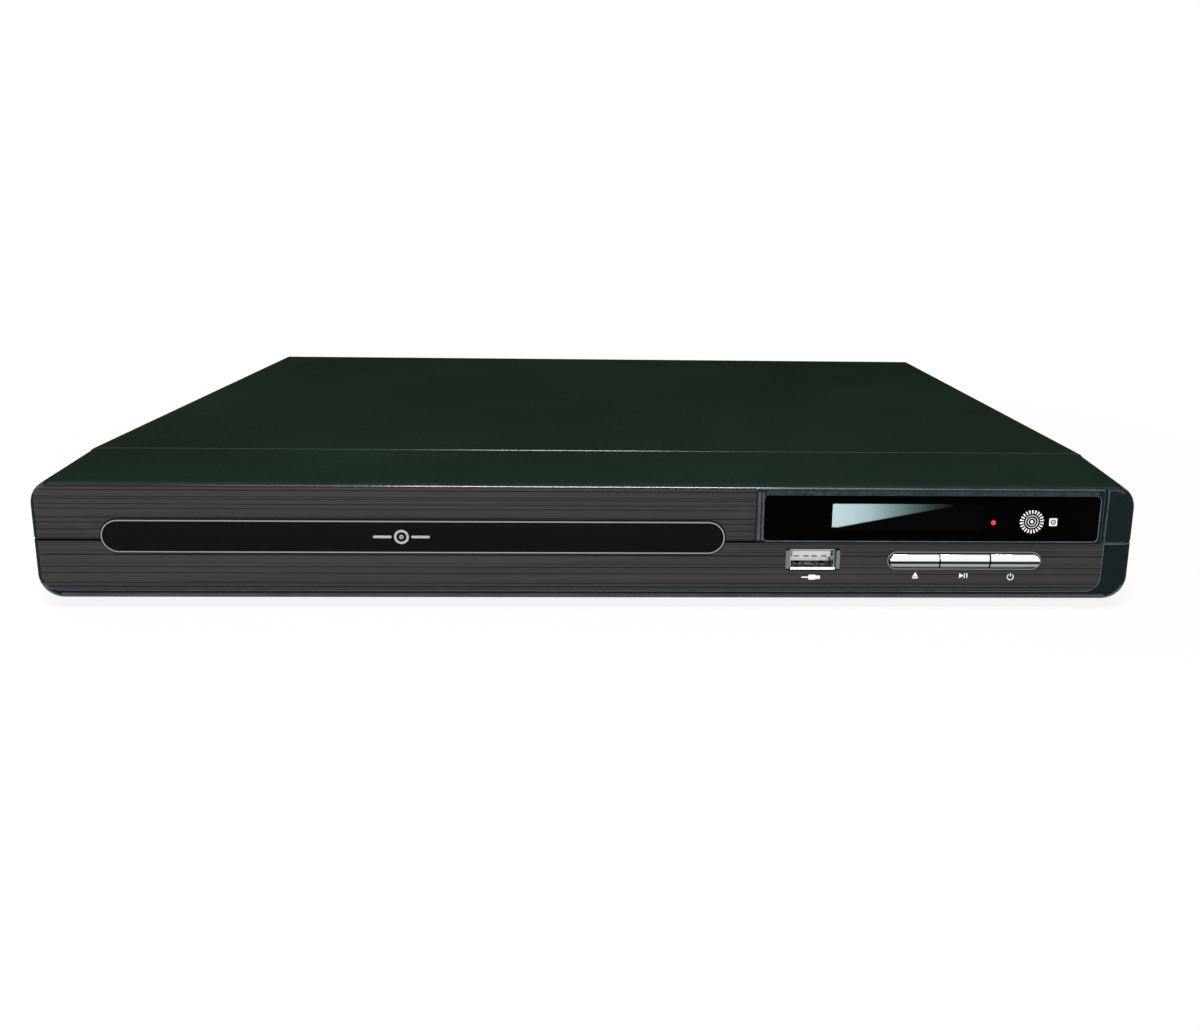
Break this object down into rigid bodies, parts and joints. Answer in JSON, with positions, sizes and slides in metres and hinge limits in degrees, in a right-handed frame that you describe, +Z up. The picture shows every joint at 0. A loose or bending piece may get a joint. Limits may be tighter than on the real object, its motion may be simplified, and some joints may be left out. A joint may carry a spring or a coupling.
{
  "type": "disc player",
  "caption": "Slim table-top disc player: wide low case, motorised disc tray, smoked display window, front socket, button row and rear sockets.",
  "frame": {"origin": "centre of the overall box in plan, on the surface that the feet stand on", "axes": "+X to the right seen from the front, +Y to the rear, +Z up; the front face looks along -Y"},
  "size_m": [0.323, 0.2354, 0.038],
  "materials": {
    "cover_paint": "fine-textured black-green powder coat",
    "zinc_steel": "galvanised sheet, satin",
    "black_steel": "blackened screw",
    "bright_steel": "bright zinc or ground steel",
    "motor_steel": "drawn steel can",
    "black_abs": "fine-textured moulding",
    "front_abs": "satin black-green moulding",
    "hairline_fascia": "dark grey plate with fine horizontal hairlines",
    "gloss_black": "polished black acrylic",
    "smoked_acrylic": "smoked acrylic window",
    "display_body": "display behind the window",
    "green_board": "solder-resist green circuit board",
    "brown_board": "phenolic circuit board",
    "black_resin": "moulded black resin",
    "white_resin": "moulded white resin",
    "red_lamp": "red lamp",
    "satin_plating": "satin plated line",
    "chrome_plating": "bright plated plastic",
    "nickel_steel": "nickel-plated steel",
    "gold_contact": "gold-flashed contact",
    "grey_abs": "moulded dark grey",
    "tray_abs": "moulded black, satin",
    "natural_pom": "natural acetal",
    "turntable_pom": "black acetal with a rubber seat",
    "sled_zinc": "black moulded carriage",
    "lens_glass": "coated lens",
    "transformer_tape": "yellow winding tape",
    "capacitor_sleeve": "dark sleeve",
    "heat_sink_metal": "extruded",
    "jack_resin": "coloured insulator",
    "rubber": "matt black rubber",
    "white_cable": "flat flexible cable",
    "grey_cable": "flat ribbon lead"
  },
  "bodies": {
    "case": {"top_cover": "cover_paint", "chassis_base": "zinc_steel", "cover_screws": "black_steel", "feet": "black_abs", "foot_pads": "rubber", "front_bezel_upper": "front_abs", "front_bezel_lower": "front_abs", "fascia_upper": "hairline_fascia", "fascia_lower": "hairline_fascia", "display_lens": "smoked_acrylic", "display_module": "display_body", "front_board": "green_board", "ir_receiver": "black_resin", "standby_led": "red_lamp", "tact_switches": "black_resin", "button_surround": "satin_plating", "usb_shell": "nickel_steel", "usb_insulator": "white_resin", "usb_contacts": "gold_contact", "loader_frame": "grey_abs", "loader_screws": "bright_steel", "clamp_bridge": "grey_abs", "loading_motor": "motor_steel", "drive_belt": "rubber", "main_board": "green_board", "main_chips": "black_resin", "power_board": "brown_board", "transformer": "transformer_tape", "capacitors": "capacitor_sleeve", "heat_sink": "heat_sink_metal", "mains_inlet": "black_resin", "inlet_pins": "gold_contact", "jack_block": "black_resin", "jack_sleeves": "nickel_steel", "jack_inserts": "jack_resin", "ribbon_cable": "white_cable", "wiring": "grey_cable", "board_screws": "bright_steel"},
    "drawer": {"tray": "tray_abs", "tray_door": "tray_abs", "door_trim": "satin_plating", "door_panel": "gloss_black"},
    "traverse": {"lift_frame": "grey_abs", "traverse_plate": "zinc_steel", "dampers": "rubber", "spindle_motor": "motor_steel", "guide_rods": "bright_steel", "sled_motor": "motor_steel"},
    "drive_gear": {"drive_gear": "natural_pom"},
    "pulley_gear": {"pulley_gear": "natural_pom"},
    "motor_pulley": {"motor_pulley": "natural_pom"},
    "cam_slider": {"cam_slider": "natural_pom"},
    "turntable": {"turntable": "turntable_pom"},
    "sled": {"pickup_sled": "sled_zinc", "pickup_lens": "lens_glass"},
    "lead_screw": {"lead_screw": "bright_steel"},
    "clamper": {"clamper": "natural_pom"},
    "eject_button": {"eject_button": "chrome_plating"},
    "play_button": {"play_button": "chrome_plating"},
    "power_button": {"power_button": "chrome_plating"}
  },
  "joints": [
    {"name": "tray_slide", "type": "slide", "parent": "case", "child": "drawer", "axis": [0, -1, 0], "range_m": [0, 0.132]},
    {"name": "drive_gear_spin", "type": "hinge", "parent": "case", "child": "drive_gear", "pos_m": [-0.01995, -0.09055, 0.0135], "axis": [0, 0, -1], "range_deg": [0, 690]},
    {"name": "pulley_gear_spin", "type": "hinge", "parent": "case", "child": "pulley_gear", "pos_m": [-0.0416, -0.09055, 0.0135], "axis": [0, 0, 1], "range_deg": [0, 1970]},
    {"name": "motor_pulley_spin", "type": "hinge", "parent": "case", "child": "motor_pulley", "pos_m": [-0.09195, -0.08655, 0.0135], "axis": [0, 0, 1], "range_deg": [0, 6780]},
    {"name": "traverse_tilt", "type": "hinge", "parent": "case", "child": "traverse", "pos_m": [-0.04995, 0.04045, 0.013], "axis": [1, 0, 0], "range_deg": [0, 2.7]},
    {"name": "cam_slide", "type": "slide", "parent": "case", "child": "cam_slider", "axis": [1, 0, 0], "range_m": [0, 0.012]},
    {"name": "turntable_spin", "type": "hinge", "parent": "traverse", "child": "turntable", "pos_m": [-0.04995, -0.04455, 0.0246], "axis": [0, 0, 1], "continuous": true},
    {"name": "clamper_spin", "type": "hinge", "parent": "case", "child": "clamper", "pos_m": [-0.04995, -0.04455, 0.03], "axis": [0, 0, 1], "continuous": true},
    {"name": "sled_slide", "type": "slide", "parent": "traverse", "child": "sled", "axis": [0, 1, 0], "range_m": [0, 0.035]},
    {"name": "lead_screw_spin", "type": "hinge", "parent": "traverse", "child": "lead_screw", "pos_m": [-0.01995, -0.01655, 0.0176], "axis": [0, 1, 0], "range_deg": [0, 4205]},
    {"name": "eject_press", "type": "slide", "parent": "case", "child": "eject_button", "axis": [0, 1, 0], "range_m": [0, 0.0005], "stiffness_N_per_m": 600},
    {"name": "play_press", "type": "slide", "parent": "case", "child": "play_button", "axis": [0, 1, 0], "range_m": [0, 0.0005], "stiffness_N_per_m": 600},
    {"name": "power_press", "type": "slide", "parent": "case", "child": "power_button", "axis": [0, 1, 0], "range_m": [0, 0.0005], "stiffness_N_per_m": 600}
  ],
  "couplings": [
    {"joint": "drive_gear_spin", "follows": "tray_slide", "rad_per_m": 90.909},
    {"joint": "pulley_gear_spin", "follows": "tray_slide", "rad_per_m": 259.74},
    {"joint": "motor_pulley_spin", "follows": "tray_slide", "rad_per_m": 892.86},
    {"joint": "cam_slide", "follows": "traverse_tilt", "m_per_rad": 0.25444},
    {"joint": "clamper_spin", "follows": "turntable_spin", "ratio": 1},
    {"joint": "lead_screw_spin", "follows": "sled_slide", "rad_per_m": 2094.4}
  ]
}
